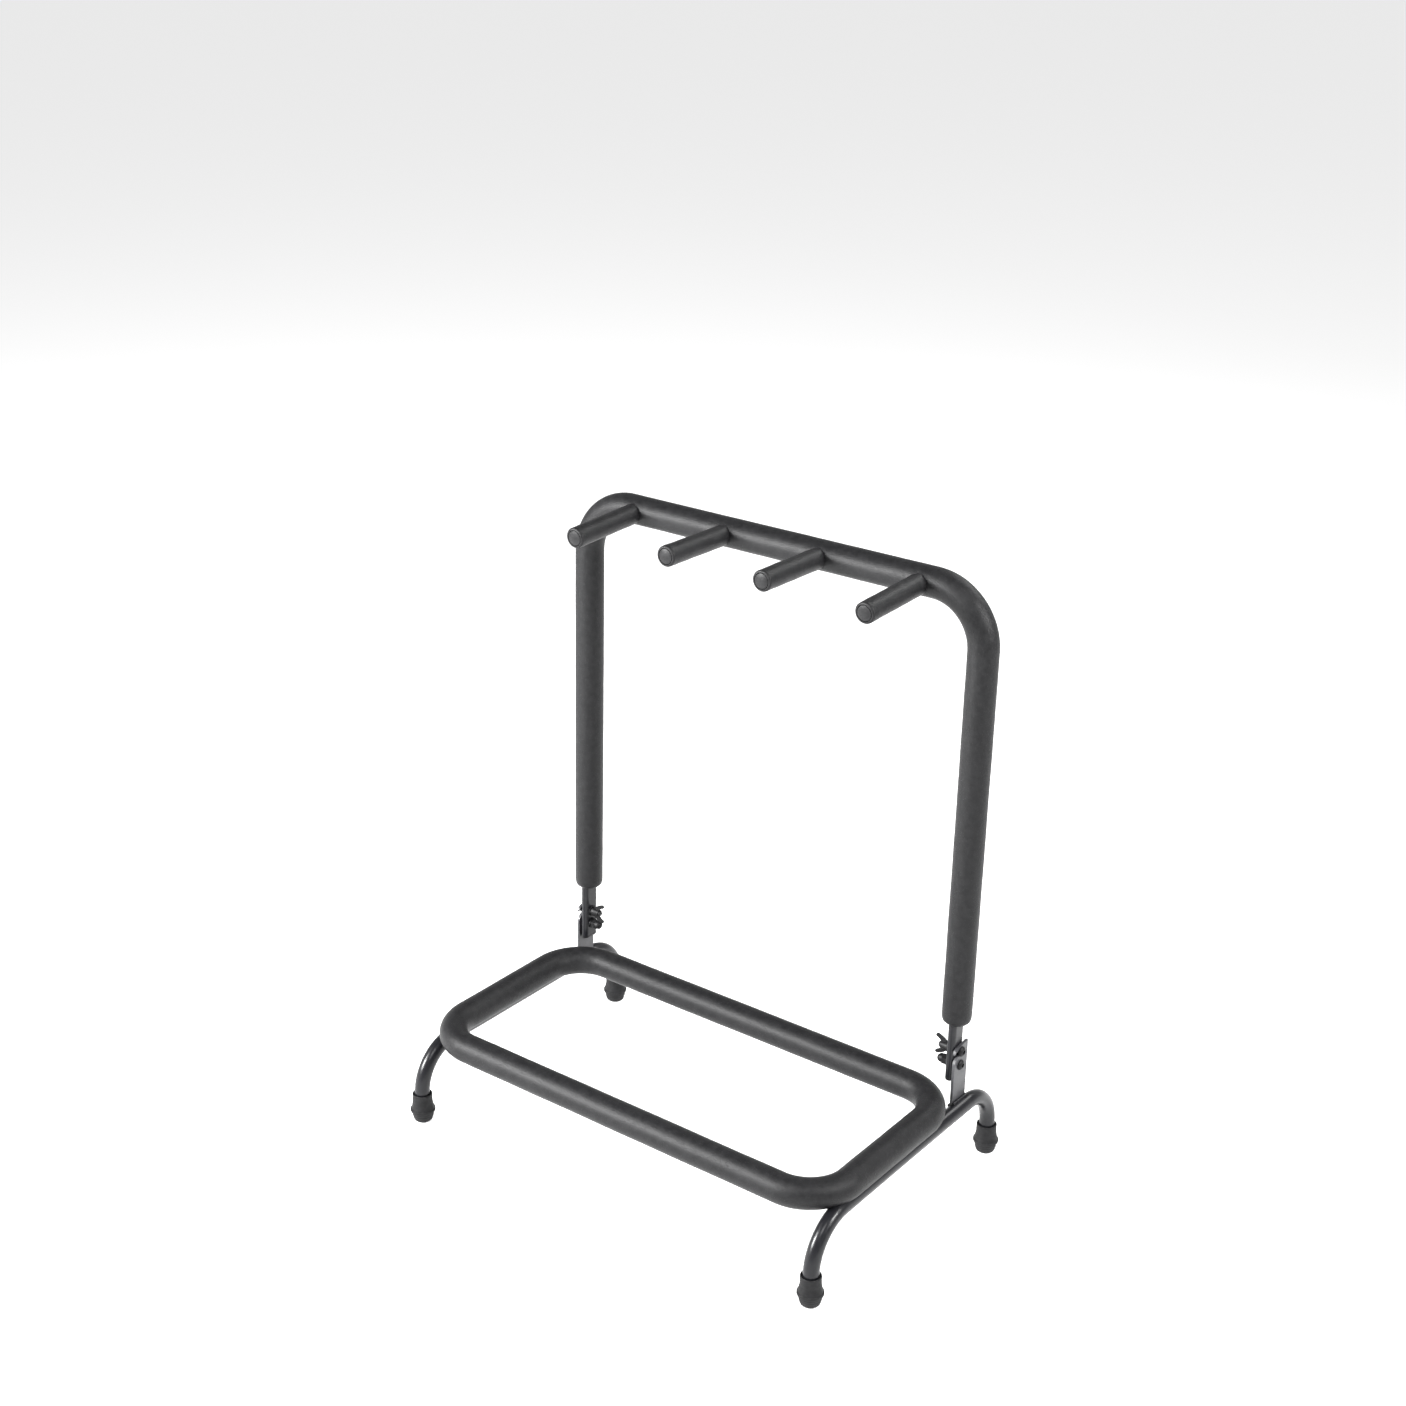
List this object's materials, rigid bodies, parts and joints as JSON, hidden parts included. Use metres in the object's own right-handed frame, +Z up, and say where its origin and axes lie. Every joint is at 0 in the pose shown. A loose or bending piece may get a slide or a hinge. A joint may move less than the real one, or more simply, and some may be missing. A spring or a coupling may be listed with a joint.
{
  "type": "guitar rack",
  "caption": "Free-standing folding floor rack for guitars: a foam-covered base loop on bent leg tubes and a hinged foam-covered back frame with neck pegs.",
  "frame": {"origin": "on the floor, midway between the four feet", "axes": "+X to the rack's right seen from the front, +Y to the back where the back frame stands, +Z up"},
  "size_m": [0.518, 0.342, 0.6309],
  "materials": {
    "black_steel": "gloss black powder coat",
    "foam": "matte closed-cell foam",
    "foot_rubber": "matte moulded rubber",
    "cap_plastic": "satin moulded plastic",
    "black_fastener": "satin black oxide"
  },
  "bodies": {
    "base": {"base_loop_foam": "foam", "base_loop_tube": "black_steel", "front_left_foot": "foot_rubber", "front_right_foot": "foot_rubber", "left_dome_nut": "black_fastener", "left_leg_tube": "black_steel", "left_pivot_bolt": "black_fastener", "left_pivot_plate": "black_steel", "left_pivot_washer": "black_fastener", "loop_weld_beads": "black_steel", "plate_weld_beads": "black_steel", "rear_left_foot": "foot_rubber", "rear_right_foot": "foot_rubber", "right_dome_nut": "black_fastener", "right_leg_tube": "black_steel", "right_pivot_bolt": "black_fastener", "right_pivot_plate": "black_steel", "right_pivot_washer": "black_fastener"},
    "back_frame": {"back_frame_foam": "foam", "back_frame_tube": "black_steel", "left_lock_bolt": "black_fastener", "left_lock_washer": "black_fastener", "left_tube_plug": "cap_plastic", "peg_end_cap_1": "cap_plastic", "peg_end_cap_2": "cap_plastic", "peg_end_cap_3": "cap_plastic", "peg_end_cap_4": "cap_plastic", "peg_foam_1": "foam", "peg_foam_2": "foam", "peg_foam_3": "foam", "peg_foam_4": "foam", "peg_rod_1": "black_steel", "peg_rod_2": "black_steel", "peg_rod_3": "black_steel", "peg_rod_4": "black_steel", "peg_weld_beads": "black_steel", "right_lock_bolt": "black_fastener", "right_lock_washer": "black_fastener", "right_tube_plug": "cap_plastic"},
    "left_wing_nut": {"left_wing_nut": "black_fastener"},
    "right_wing_nut": {"right_wing_nut": "black_fastener"}
  },
  "joints": [
    {"name": "back_fold", "type": "hinge", "parent": "base", "child": "back_frame", "pos_m": [0, 0.1, 0.1285], "axis": [1, 0, 0], "range_deg": [0, 91]},
    {"name": "left_wing_nut_turn", "type": "hinge", "parent": "back_frame", "child": "left_wing_nut", "pos_m": [-0.2233, 0.10026, 0.1435], "axis": [1, 0, 0], "continuous": true},
    {"name": "right_wing_nut_turn", "type": "hinge", "parent": "back_frame", "child": "right_wing_nut", "pos_m": [0.2233, 0.10026, 0.1435], "axis": [1, 0, 0], "continuous": true}
  ]
}
